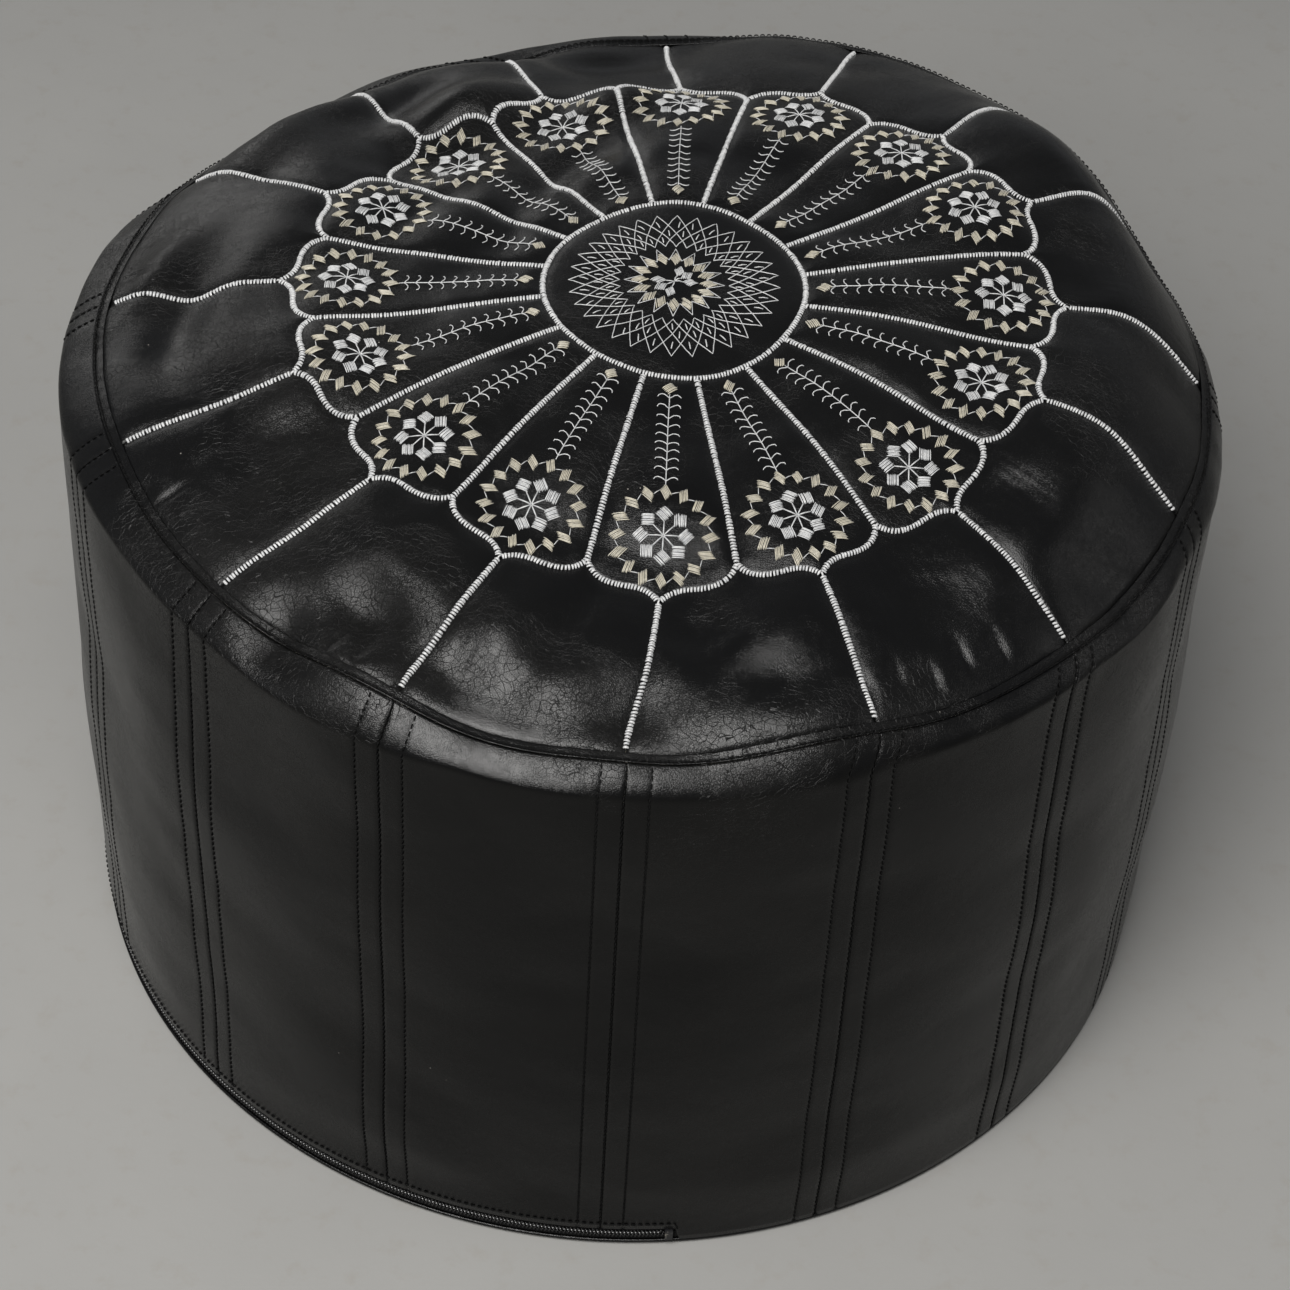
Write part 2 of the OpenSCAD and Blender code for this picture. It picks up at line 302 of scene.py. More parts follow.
def seam_dip(theta, rho):
    """How far the leather is pulled down beside a seam of the top."""
    off = wrap(theta + math.pi / 2) % PITCH
    to_petal = np.minimum(off, PITCH - off)
    to_spoke = PITCH / 2 - to_petal
    ring = np.abs(rho - MEDALLION)
    spoke = np.where((rho > MEDALLION) & (rho < VALLEY), rho * np.sin(to_spoke), 1)
    keel = np.where(rho > VALLEY - 0.01, np.abs(rho - arch(to_petal)) * 0.8, 1)
    ray = np.where(rho > CUSP, rho * np.sin(to_petal), 1)
    nearest = np.minimum(np.minimum(ring, spoke), np.minimum(keel, ray))
    rim = np.where(rho <= RIM, RIM - rho, rho - WALL_START)
    side = np.where(rho > WALL_START, RIM * to_petal, 1)
    dip = (1.1 * MM * bump(nearest, 3 * MM) + 0.5 * MM * bump(nearest, 9 * MM)) * (rho < RIM)
    stitched = np.abs(side - TOPSTITCH)
    dip = dip + 0.45 * MM * bump(rim, 1.5 * MM) * np.where(rho <= RIM, 1, 0.4)
    groove = 0.6 * MM * bump(side, 1.0 * MM) + 0.4 * MM * bump(stitched, 0.9 * MM)
    return dip, groove * smooth_step(rho, WALL_START, WALL_START + 4 * MM)


def leather(theta, rho, dips=True):
    """The settled cover's outer surface at a direction and an unrolled radius."""
    theta, rho = np.broadcast_arrays(np.asarray(theta, float), np.asarray(rho, float))
    r, z = plain_place(rho)
    plain = np.stack([r * np.cos(theta), r * np.sin(theta), z], -1)
    out = np.zeros_like(rho)
    up = saddle(theta) * np.where(rho < RIM, (rho / RIM) ** 1.5, np.clip(z / RIM_Z, 0, 1))
    reach = np.minimum(rho, RIM)
    for angle, middle, across, along, turn, push, lift in HOLLOWS:
        a = wrap(theta - math.radians(angle)) * reach / MM
        b = rho / MM - middle
        cos_t, sin_t = math.cos(math.radians(turn)), math.sin(math.radians(turn))
        weight = bump(a * cos_t + b * sin_t, across * 1.2) * bump(b * cos_t - a * sin_t, along * 1.2)
        out = out + weight * push * MM
        up = up + weight * lift * MM
    for angle, middle in PUCKERS:
        a = wrap(theta - math.radians(angle)) * reach / MM
        up = up - 1.6 * MM * bump(a, 2.4) * bump(rho / MM - middle, 7)
    waves, phases, heights = RIPPLES
    ripple = np.zeros_like(rho)
    for wave, phase, height in zip(waves, phases, heights):
        ripple = ripple + height * np.sin(plain @ wave + phase)
    footing = smooth_step(z, 0.012, 0.05)
    on_top = np.where(rho < RIM, 1, 1 - smooth_step(rho, RIM, WALL_START + SHOULDER_ARC))
    out = out + 0.4 * ripple * (1 - on_top) * footing
    up = up + ripple * on_top
    if dips:
        dip, groove = seam_dip(theta, rho)
        up = up - dip
        out = out - groove
    along = wander(theta, rho)
    x = (r + out) * np.cos(theta) - along * np.sin(theta) + drift(rho)
    y = (r + out) * np.sin(theta) + along * np.cos(theta)
    moved = np.stack([x, y, z + up * footing], -1)
    if wrinkles:
        moved = moved + sample_wrinkles(theta, rho)
    return moved


def sample_wrinkles(theta, rho):
    """The simulated leather's movement, read from its grid."""
    grid, last = wrinkles["grid"], wrinkles["reach"]
    rows, columns = grid.shape[:2]
    row = np.clip(rho / last, 0, 1) * (rows - 1)
    column = (theta / (2 * math.pi) % 1) * columns
    i = np.minimum(row.astype(int), rows - 2)
    j = column.astype(int) % columns
    u = (row - i)[..., None]
    v = (column - column.astype(int))[..., None]
    u = u * u * (3 - 2 * u)
    v = v * v * (3 - 2 * v)
    k = (j + 1) % columns
    return ((grid[i, j] * (1 - v) + grid[i, k] * v) * (1 - u)
            + (grid[i + 1, j] * (1 - v) + grid[i + 1, k] * v) * u)


def lifted(theta, rho, lift, dips=True):
    """A point that stands off the settled leather by lift."""
    step = 0.6 * MM
    here = leather(theta, rho, dips)
    turn = step / np.maximum(rho, 2 * MM)
    across = leather(theta + turn, rho, dips) - here
    along = leather(theta, rho + step, dips) - here
    return here + unit(np.cross(along, across)) * np.asarray(lift)[..., None]


def lifted_flat(x, y, lift):
    """The same for a point of the top given by its flat place."""
    return lifted(np.arctan2(y, x), np.hypot(x, y), lift)


# ---------------------------------------------------------------- simulated slack in the leather
SIM_ROWS = 128
SIM_COLUMNS = 288
SIM_FRAMES = 20
SLACK = 0.022
MOST_MOVED = 3 * MM
HELD_BY_SEAM = 3.5 * MM
HELD_BELOW = 40 * MM


def seam_distance(theta, rho):
    """How far a point of the cover lies from its nearest seam."""
    off = wrap(theta + math.pi / 2) % PITCH
    to_petal = np.minimum(off, PITCH - off)
    spoke = np.where(rho < VALLEY, rho * np.sin(PITCH / 2 - to_petal), 1)
    keel = np.abs(rho - arch(to_petal)) * 0.8
    ray = np.where(rho > CUSP, np.minimum(rho, RIM) * np.sin(to_petal), 1)
    rim = np.abs(rho - (RIM + WALL_START) / 2)
    return np.minimum(np.minimum(spoke, keel), np.minimum(ray, rim))


def simulate_slack():
    """The sewn cover as one pressed cloth: it swells and wrinkles between its pinned seams."""
    reach = WALL_START + SHOULDER_ARC + WALL_TOP - WALL_FOOT
    rho = np.linspace(0, reach, SIM_ROWS)[:, None] + np.zeros((1, SIM_COLUMNS))
    rho[0] = 1 * MM
    theta = full_turn(SIM_COLUMNS)[None, :] + np.zeros_like(rho)
    start = leather(theta, rho, False).reshape(-1, 3)
    mesh = bpy.data.meshes.new("slack")
    mesh.from_pydata(start.tolist(), [], grid_faces(SIM_ROWS, SIM_COLUMNS, around=True).tolist())
    cover = add_object("slack", mesh)
    held = (seam_distance(theta, rho) < HELD_BY_SEAM) | (rho < MEDALLION + 4 * MM)
    held |= leather(theta, rho, False)[..., 2] < HELD_BELOW
    sewn = cover.vertex_groups.new(name="sewn")
    sewn.add([int(i) for i in np.nonzero(held.ravel())[0]], 1.0, "REPLACE")
    modifier = cover.modifiers.new("slack", "CLOTH")
    cloth = modifier.settings
    cloth.quality = 6
    cloth.mass = 0.4
    cloth.tension_stiffness = cloth.compression_stiffness = 20
    cloth.shear_stiffness = 8
    cloth.bending_stiffness = 5
    cloth.vertex_group_mass = "sewn"
    cloth.use_pressure = True
    cloth.uniform_pressure_force = 4
    cloth.shrink_min = -SLACK
    cloth.effector_weights.gravity = 0
    modifier.collision_settings.use_collision = False
    for number in range(1, SIM_FRAMES + 1):
        bpy.context.scene.frame_set(number)
    graph = bpy.context.evaluated_depsgraph_get()
    settled = cover.evaluated_get(graph).data
    end = np.empty(len(start) * 3, np.float32)
    settled.vertices.foreach_get("co", end)
    moved = end.reshape(-1, 3).astype(float) - start
    size = np.linalg.norm(moved, axis=1, keepdims=True)
    moved *= MOST_MOVED / (MOST_MOVED + size)
    moved[held.ravel()] = 0
    moved *= np.where(rho.ravel() > WALL_START + SHOULDER_ARC, 0.3, 1)[:, None]
    bpy.data.objects.remove(cover)
    bpy.data.meshes.remove(mesh)
    bpy.context.scene.frame_set(1)
    moved = moved.reshape(SIM_ROWS, SIM_COLUMNS, 3)
    for axis in (0, 1, 0, 1):
        moved = 0.5 * moved + 0.25 * (np.roll(moved, 1, axis) + np.roll(moved, -1, axis))
    moved[[0, -1]] = 0
    wrinkles["grid"] = moved
    wrinkles["reach"] = reach


# ---------------------------------------------------------------- meshes
def make_piece(name, points, faces, material, node_slot=None):
    """A mesh object on the pouf; with a slot it replaces the CAD node of its own name."""
    mesh = bpy.data.meshes.new(name)
    points = np.asarray(points, np.float32).reshape(-1, 3)
    mesh.vertices.add(len(points))
    mesh.vertices.foreach_set("co", points.ravel())
    if isinstance(faces, list):
        sizes = np.array([len(f) for f in faces], np.int32)
        corners = np.array([i for f in faces for i in f], np.int32)
    else:
        sizes = np.full(len(faces), faces.shape[1], np.int32)
        corners = faces.astype(np.int32).ravel()
    mesh.loops.add(len(corners))
    mesh.loops.foreach_set("vertex_index", corners)
    mesh.polygons.add(len(sizes))
    starts = np.concatenate([[0], np.cumsum(sizes)[:-1]]).astype(np.int32)
    mesh.polygons.foreach_set("loop_start", starts)
    mesh.polygons.foreach_set("use_smooth", np.full(len(sizes), True))
    mesh.update(calc_edges=True)
    mesh.validate()
    mesh.materials.append(material)
    piece = add_object(name, mesh)
    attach(piece, "pouf")
    if node_slot:
        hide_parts(name)
    return piece


def grid_faces(rows, columns, around=False, start=0, flip=False):
    """Quads over a grid of points, whose columns may close on themselves."""
    i = np.arange(rows - 1)[:, None]
    j = np.arange(columns if around else columns - 1)[None, :]
    k = (j + 1) % columns
    quads = [i * columns + j, (i + 1) * columns + j, (i + 1) * columns + k, i * columns + k]
    quads = np.stack(quads, -1).reshape(-1, 4) + start
    return quads[:, ::-1] if flip else quads


def capped_rings(rows, columns, flip=False):
    """Rings of points joined into a closed form, with a face over the first and the last ring."""
    caps = [list(range(columns)), [rows * columns - 1 - i for i in range(columns)]]
    caps = [cap[::-1] for cap in caps] if flip else caps
    return grid_faces(rows, columns, around=True, flip=flip).tolist() + caps


def copied_rings(rows, columns, count):
    """The same open tube faces for each of a number of equal blocks of points."""
    one = grid_faces(rows, columns, around=True)
    return (one[None] + (np.arange(count) * rows * columns)[:, None, None]).reshape(-1, 4)


def sheet_faces(rows, columns):
    """A closed sheet: an outer grid, an inner grid under it and walls round their edges."""
    count = rows * columns
    outer = grid_faces(rows, columns)
    inner = grid_faces(rows, columns, start=count, flip=True)
    edge = [np.arange(columns), np.arange(1, rows) * columns + columns - 1,
            (rows - 1) * columns + np.arange(columns - 2, -1, -1), np.arange(rows - 2, 0, -1) * columns]
    loop = np.concatenate(edge)
    nxt = np.roll(loop, -1)
    walls = np.stack([loop, nxt, nxt + count, loop + count], -1)
    return np.concatenate([outer, inner, walls])


def sheet_points(theta, rho):
    """Points of a leather sheet: the outer face, then the inner face."""
    outer = lifted(theta, rho, np.zeros(theta.shape))
    inner = lifted(theta, rho, np.full(theta.shape, -SKIN))
    return np.concatenate([outer.reshape(-1, 3), inner.reshape(-1, 3)])


def tubes(paths, width, height, sides=6, ends=0.45):
    """Threads in flat space: (count, steps, 3) paths of x, y and lift become points and faces."""
    paths = np.asarray(paths, float)
    count, steps = paths.shape[:2]
    ahead = unit(np.gradient(paths[..., :2], axis=1))
    beside = np.stack([-ahead[..., 1], ahead[..., 0]], -1)
    turn = full_turn(sides) + math.pi / sides
    size = np.ones(steps)
    size[[0, -1]] = ends
    wide = np.broadcast_to(np.asarray(width, float), (count,))[:, None, None] * size[None, :, None]
    flat = paths[..., None, :2] + beside[..., None, :] * (np.cos(turn) * wide)[..., None]
    lift = paths[..., 2:3] + np.sin(turn) * height * size[None, :, None]
    points = np.concatenate([flat, lift[..., None]], -1)
    block = steps * sides
    caps = []
    for start in range(0, count * block, block):
        caps.append([start + i for i in range(sides)])
        caps.append([start + block - 1 - i for i in range(sides)])
    return points.reshape(-1, 3), copied_rings(steps, sides, count), caps


def join_parts(parts):
    """Several sets of points and faces as one."""
    points, faces, start = [], [], 0
    for p, quads, caps in parts:
        points.append(p)
        faces += (quads + start).tolist() + [[i + start for i in cap] for cap in caps]
        start += len(p)
    return np.concatenate(points), faces


def thread_piece(name, parts, material):
    points, faces = join_parts(parts)
    make_piece(name, lifted_flat(*points.T), faces, material)


# ---------------------------------------------------------------- materials
class Nodes:
    """Short forms for building one material's nodes."""

    def __init__(self, name):
        self.material = bpy.data.materials.new(name)
        self.material.use_nodes = True
        self.tree = self.material.node_tree
        self.shader = self.tree.nodes["Principled BSDF"]
        self.place = self.tree.nodes.new("ShaderNodeTexCoord").outputs["Object"]

    def put(self, socket, value):
        if hasattr(value, "is_output"):
            self.tree.links.new(value, socket)
        else:
            socket.default_value = value

    def node(self, kind, **inputs):
        made = self.tree.nodes.new(kind)
        for key, value in inputs.items():
            if hasattr(made, key) and key not in made.inputs:
                setattr(made, key, value)
            else:
                self.put(made.inputs[key], value)
        return made

    def stretched(self, x, y, z):
        mapping = self.tree.nodes.new("ShaderNodeMapping")
        self.tree.links.new(self.place, mapping.inputs["Vector"])
        mapping.inputs["Scale"].default_value = (x, y, z)
        return mapping.outputs["Vector"]

    def noise(self, scale, detail=3.0, roughness=0.5, vector=None, distortion=0.0):
        made = self.node("ShaderNodeTexNoise", Scale=scale, Detail=detail, Roughness=roughness,
                         Distortion=distortion)
        self.put(made.inputs["Vector"], vector or self.place)
        return made.outputs["Fac"]

    def cells(self, scale, feature="F1", vector=None):
        made = self.tree.nodes.new("ShaderNodeTexVoronoi")
        made.feature = feature
        made.inputs["Scale"].default_value = scale
        self.put(made.inputs["Vector"], vector or self.place)
        return made.outputs["Distance"]

    def remap(self, value, low, high, to_low, to_high):
        made = self.tree.nodes.new("ShaderNodeMapRange")
        for key, item in zip(("Value", "From Min", "From Max", "To Min", "To Max"),
                             (value, low, high, to_low, to_high)):
            self.put(made.inputs[key], item)
        return made.outputs["Result"]

    def math(self, kind, a, b=0.0):
        made = self.tree.nodes.new("ShaderNodeMath")
        made.operation = kind
        self.put(made.inputs[0], a)
        self.put(made.inputs[1], b)
        return made.outputs[0]

    def mix(self, share, a, b):
        made = self.tree.nodes.new("ShaderNodeMix")
        made.data_type = "RGBA"
        self.put(made.inputs[0], share)
        self.put(made.inputs[6], a)
        self.put(made.inputs[7], b)
        return made.outputs[2]

    def bumped(self, height, distance, strength=1.0, normal=None):
        made = self.tree.nodes.new("ShaderNodeBump")
        made.inputs["Strength"].default_value = strength
        made.inputs["Distance"].default_value = distance
        self.put(made.inputs["Height"], height)
        if normal is not None:
            self.put(made.inputs["Normal"], normal)
        return made.outputs["Normal"]

    def surface(self, color, rough, normal, **plain):
        """Link the shader's colour, roughness and normal, and set its plain numbers."""
        for key, value in (("Base Color", color), ("Roughness", rough), ("Normal", normal)):
            self.put(self.shader.inputs[key], value)
        for key, value in plain.items():
            self.shader.inputs[key.replace("_", " ")].default_value = value
        return self.material


def rgb(r, g, b):
    return (r, g, b, 1.0)


def leather_material():
    n = Nodes("black_leather")
    warp = n.node("ShaderNodeTexNoise", Scale=60.0, Detail=2.0)
    n.put(warp.inputs["Vector"], n.place)
    drift = n.node("ShaderNodeVectorMath", operation="SCALE")
    n.put(drift.inputs[0], warp.outputs["Color"])
    drift.inputs["Scale"].default_value = 0.007
    moved = n.node("ShaderNodeVectorMath", operation="ADD")
    n.put(moved.inputs[0], n.place)
    n.put(moved.inputs[1], drift.outputs[0])
    place = moved.outputs[0]
    fine = n.cells(1150, "DISTANCE_TO_EDGE", place)
    pebble = n.remap(fine, 0.0, 0.25, 0.0, 1.0)
    pores = n.noise(2600, 2.0, 0.6)
    wide_crack = n.remap(n.cells(290, "DISTANCE_TO_EDGE", place), 0.0, 0.028, 0.0, 1.0)
    thin_crack = n.remap(n.cells(640, "DISTANCE_TO_EDGE", place), 0.0, 0.035, 0.0, 1.0)
    broken = n.remap(n.noise(90, 3.0), 0.42, 0.56, 0.0, 1.0)
    cracks = n.math("MINIMUM", wide_crack, n.math("MAXIMUM", thin_crack, broken))
    worn = n.remap(n.noise(11, 3.0, 0.6), 0.47, 0.62, 0.0, 1.0)
    lines = n.math("MULTIPLY", worn, n.math("SUBTRACT", 1.0, cracks))
    split = n.tree.nodes.new("ShaderNodeSeparateXYZ")
    n.put(split.inputs[0], n.place)
    lines = n.math("MULTIPLY", lines, n.remap(split.outputs["Z"], 0.24, 0.31, 0.0, 1.0))
    crease = n.noise(150, 5.0, 0.62, None, 0.5)
    patches = n.noise(5.5, 4.0, 0.55)
    base = n.mix(n.remap(patches, 0.35, 0.7, 0.0, 1.0), rgb(0.0006, 0.0006, 0.0007),
                 rgb(0.0014, 0.0014, 0.0013))
    base = n.mix(n.math("MULTIPLY", worn, 0.15), base, rgb(0.005, 0.0045, 0.004))
    specks = n.remap(n.cells(95, "F1"), 0.035, 0.028, 0.0, 1.0)
    rare = n.remap(n.noise(38, 1.0), 0.62, 0.66, 0.0, 1.0)
    dust = n.math("MULTIPLY", specks, rare)
    color = n.mix(n.math("MULTIPLY", dust, 0.5), base, rgb(0.32, 0.3, 0.27))
    rough = n.remap(n.noise(17, 4.0, 0.6), 0.3, 0.7, 0.2, 0.3)
    rough = n.math("ADD", rough, n.math("MULTIPLY", lines, 0.25))
    rough = n.math("ADD", rough, n.math("MULTIPLY", worn, 0.03))
    rough = n.math("ADD", rough, n.remap(pores, 0.3, 0.7, -0.03, 0.05))
    normal = n.bumped(pebble, 0.000045, 0.9)
    normal = n.bumped(crease, 0.0003, 0.35, normal)
    normal = n.bumped(n.math("MULTIPLY", lines, -1.0), 0.0004, 0.6, normal)
    normal = n.bumped(n.noise(36, 2.0, 0.5), 0.001, 0.16, normal)
    return n.surface(color, rough, normal, IOR=1.27)


def thread_material(name, pale, shade, dirt, rough=0.42, sheen=0.25, ior=1.5):
    n = Nodes(name)
    strand = n.noise(1500, 3.0, 0.6)
    tint = n.noise(520, 3.0, 0.6)
    color = n.mix(n.remap(tint, 0.36, 0.64, 0.0, 1.0), pale, shade)
    color = n.mix(n.remap(strand, 0.48, 0.7, 0.0, 0.7), color, dirt)
    return n.surface(color, n.remap(strand, 0.3, 0.7, rough - 0.1, rough + 0.12),
                    n.bumped(n.noise(2600, 2.0, 0.6), 0.00015, 0.6),
                    IOR=ior, Sheen_Weight=sheen, Sheen_Roughness=0.4)


def tape_material():
    n = Nodes("woven_tape")
    ribs = n.node("ShaderNodeTexWave", Scale=260.0, Distortion=1.5)
    n.put(ribs.inputs["Vector"], n.stretched(1, 1, 2.2))
    fuzz_and_sheen = n.noise(1800, 2.0, 0.6)
    color = n.mix(ribs.outputs["Fac"], rgb(0.001, 0.001, 0.0012), rgb(0.004, 0.004, 0.0042))
    # the lighter flecks on the fuzz are painted sheen on real fibres
    color = n.mix(n.remap(fuzz_and_sheen, 0.5, 0.8, 0, 0.3), color, rgb(0.012, 0.0115, 0.011))
    return n.surface(color, n.remap(fuzz_and_sheen, 0.3, 0.7, 0.7, 0.92),
                    n.bumped(ribs.outputs["Fac"], 0.0002, 0.8, n.bumped(fuzz_and_sheen, 0.0001, 0.5)),
                    Sheen_Weight=0.03, IOR=1.2)


def coil_material():
    n = Nodes("nylon_coil")
    scuff = n.noise(320, 3.0, 0.6)
    color = n.mix(n.remap(scuff, 0.4, 0.75, 0, 1), rgb(0.003, 0.003, 0.0032),
                  rgb(0.012, 0.0118, 0.0115))
    return n.surface(color, n.remap(scuff, 0.3, 0.7, 0.2, 0.4),
                    n.bumped(n.noise(900, 2.0), 0.00004, 0.5), IOR=1.35)


def metal_material():
    n = Nodes("lacquered_metal")
    wear = n.noise(260, 4.0, 0.65)
    edge = n.remap(wear, 0.58, 0.68, 0.0, 1.0)
    color = n.mix(edge, rgb(0.012, 0.012, 0.013), rgb(0.32, 0.3, 0.27))
    n.put(n.shader.inputs["Metallic"], n.remap(edge, 0, 1, 0.35, 1.0))
    scratch = n.noise(300, 3.0, 0.6, n.stretched(1, 1, 9))
    return n.surface(color, n.remap(n.noise(700, 3.0), 0.3, 0.7, 0.22, 0.42),
                    n.bumped(scratch, 0.00003, 0.5))


def cotton_material(name, pale, shade):
    n = Nodes(name)
    warp = n.node("ShaderNodeTexWave", Scale=700.0, Distortion=0.8)
    n.put(warp.inputs["Vector"], n.stretched(1, 0.2, 0.2))
    weft = n.node("ShaderNodeTexWave", Scale=700.0, Distortion=0.8)
    n.put(weft.inputs["Vector"], n.stretched(0.2, 1, 1))
    weave = n.math("MAXIMUM", warp.outputs["Fac"], weft.outputs["Fac"])
    return n.surface(n.mix(n.noise(12, 3.0), pale, shade),
                    n.remap(n.noise(300), 0.3, 0.7, 0.8, 0.95), n.bumped(weave, 0.0002, 0.7))


LEATHER = leather_material()
SILVER = thread_material("silver_thread", rgb(0.335, 0.335, 0.332), rgb(0.245, 0.25, 0.255),
                         rgb(0.13, 0.13, 0.128))
CREAM = thread_material("cream_thread", rgb(0.285, 0.262, 0.205), rgb(0.205, 0.19, 0.15),
                        rgb(0.13, 0.12, 0.092))
BLACK_THREAD = thread_material("black_thread", rgb(0.0015, 0.0015, 0.0015), rgb(0.003, 0.003, 0.003),
                               rgb(0.008, 0.008, 0.008), 0.8, 0.0, 1.12)
TAPE = tape_material()
COIL = coil_material()
METAL = metal_material()
BAG_CLOTH = cotton_material("bag_cotton", rgb(0.74, 0.70, 0.60), rgb(0.66, 0.61, 0.51))
STUFFING = cotton_material("cotton_stuffing", rgb(0.82, 0.79, 0.72), rgb(0.72, 0.68, 0.6))


# ---------------------------------------------------------------- leather panels
def leather_sheet(name, theta, rho, faces=None):
    if faces is None:
        faces = sheet_faces(*theta.shape)
    piece = make_piece(name, sheet_points(theta, rho), faces, LEATHER, "leather")


def make_medallion():
    rings, around = 34, 160
    rho = np.linspace(0.4 * MM, MEDALLION - GAP / 2, rings)[:, None] * np.ones((1, around))
    theta = full_turn(around)[None, :] * np.ones((rings, 1))
    count = rings * around
    last = (rings - 1) * around
    faces = grid_faces(rings, around, True).tolist()
    faces += grid_faces(rings, around, True, count, True).tolist()
    faces += [[last + j, last + j + count, last + (j + 1) % around + count, last + (j + 1) % around]
              for j in range(around)]
    faces += [list(range(around)), [count + j for j in range(around - 1, -1, -1)]]
    leather_sheet("medallion", theta, rho, faces)


def make_petal(k):
    rows, columns = 58, 33
    u = np.linspace(-1, 1, columns)[None, :]
    v = np.linspace(0, 1, rows)[:, None]
    start = MEDALLION + GAP / 2
    rho = start + v * (arch(u * PITCH / 2) - GAP / 2 - start)
    theta = petal_angle(k) + u * (PITCH / 2 - GAP / 2 / rho)
    leather_sheet(f"petal_{k + 1:02d}", theta, rho)


def make_top_panel(k):
    rows, columns = 46, 61
    u = np.linspace(0, 1, columns)[None, :]
    v = np.linspace(0, 1, rows)[:, None]
    start = arch(np.minimum(u, 1 - u) * PITCH) + GAP / 2
    rho = start + v * (RIM - 0.1 * MM - start)
    theta = petal_angle(k) + GAP / 2 / rho + u * (PITCH - GAP / rho)
    leather_sheet(f"top_panel_{k + 1:02d}", theta, rho)


def wall_end(theta):
    """Unrolled radius of the wall's lower edge: the hem over the zip, and the foot elsewhere."""
    angle = theta % (2 * math.pi)
    near, far = math.radians(0.5), math.radians(0.2)
    inside = smooth_step(angle, ZIP_START - far, ZIP_START + near)
    inside = inside * (1 - smooth_step(angle, ZIP_END - near, ZIP_END + far))
    low = WALL_FOOT + (HEM - WALL_FOOT) * inside
    return WALL_START + SHOULDER_ARC + WALL_TOP - low


def wall_columns():
    """Shares across a side panel, closer together where the seam and its topstitching dent it."""
    width = PITCH * RIM / MM
    edge = [0, 0.35, 0.8, 1.4, 2.2, 3.5, 5.5, 7.6, 8.7, 9.3, 9.7, 10, 10.3, 10.7, 11.6, 13.5, 17]
    middle = np.linspace(22, width - 22, 12)
    zip_end = (ZIP_END - petal_angle(PANELS)) / PITCH * width + np.linspace(-4, 2, 13)
    return np.unique(np.concatenate([edge, middle, zip_end, width - np.array(edge)])) / width


def make_side_panel(k):
    gap_angle = GAP / DRUM
    u = wall_columns()[None, :]
    v = np.linspace(0, 1, 120)[:, None] ** 1.15
    theta = petal_angle(k) + gap_angle / 2 + u * (PITCH - gap_angle) + 0 * v
    rho = WALL_START + v * (wall_end(theta) - WALL_START)
    leather_sheet(f"side_panel_{k + 1:02d}", theta, rho)


def make_rim_lip():
    around, section = 1200, 16
    thick = 0.55 * MM
    theta = full_turn(around)[:, None]
    turn = full_turn(section)[None, :]
    wave = np.sin(theta * 211 + 2 * np.sin(theta * 9)) + np.sin(theta * 67)
    half = (WALL_START - RIM) / 2
    out = half * np.sign(np.cos(turn)) * np.abs(np.cos(turn)) ** 0.6 * (1 + 0.03 * wave)
    up = 0.35 * MM * np.sign(np.sin(turn)) * np.abs(np.sin(turn)) ** 0.6
    up = up - thick + thick * smooth_step(out, 0.5 * half, half) + 0.05 * MM * wave
    points = leather(theta, np.clip(RIM + half + out, RIM, WALL_START), False)
    points[..., 2] += up
    faces = [[i * section + j, ((i + 1) % around) * section + j,
              ((i + 1) % around) * section + (j + 1) % section, i * section + (j + 1) % section]
             for i in range(around) for j in range(section)]
    make_piece("rim_lip", points, faces, LEATHER, "leather")


# ---------------------------------------------------------------- whip stitches
STITCH_PITCH = 1.4 * MM
STITCH_HALF = 1.35 * MM
STITCH_WIDE = 0.37 * STITCH_PITCH
STITCH_TALL = 0.45 * MM


def whip_stitches(name, path):
    """One short fat thread after another over a seam; path is a dense line of flat points."""
    steps = np.linalg.norm(np.diff(path, axis=0), axis=1)
    run = np.concatenate([[0], np.cumsum(steps)])
    count = max(int(run[-1] / STITCH_PITCH), 2)
    at = (np.arange(count) + 0.5) * run[-1] / count + rng.normal(0, 0.1 * MM, count)
    middle = np.stack([np.interp(at, run, path[:, i]) for i in range(2)], -1)
    before = np.stack([np.interp(at - 1 * MM, run, path[:, i]) for i in range(2)], -1)
    after = np.stack([np.interp(at + 1 * MM, run, path[:, i]) for i in range(2)], -1)
    along = unit(after - before)
    lean = rng.normal(0.1, 0.08, count)[:, None]
    across = np.stack([-along[:, 1], along[:, 0]], -1) + along * lean
    half = STITCH_HALF * rng.uniform(0.88, 1.12, count)
    shares = np.array([-1.0, -0.62, 0.0, 0.62, 1.0])
    lifts = np.array([-0.3, 0.65, 0.95, 0.65, -0.3]) * MM
    flat = middle[:, None] + across[:, None] * (half[:, None] * shares)[..., None]
    lift = np.broadcast_to(lifts, (count, 5)) + rng.normal(0, 0.06 * MM, (count, 1))
    paths = np.concatenate([flat, lift[..., None]], -1)
    wide = STITCH_WIDE * rng.uniform(0.88, 1.1, count)
    thread_piece(name, [tubes(paths, wide, STITCH_TALL, 6, 0.75)], SILVER)


def flat_line(angle, radii):
    return np.stack([radii * np.cos(angle), radii * np.sin(angle)], -1)


def radial_drift(k, radii):
    """Sideways wander of an outer seam; it starts and ends on its line."""
    share = (radii - CUSP) / (RIM - CUSP)
    return 0.8 * MM * np.sin(share * math.pi) * math.sin(k * 2.4)


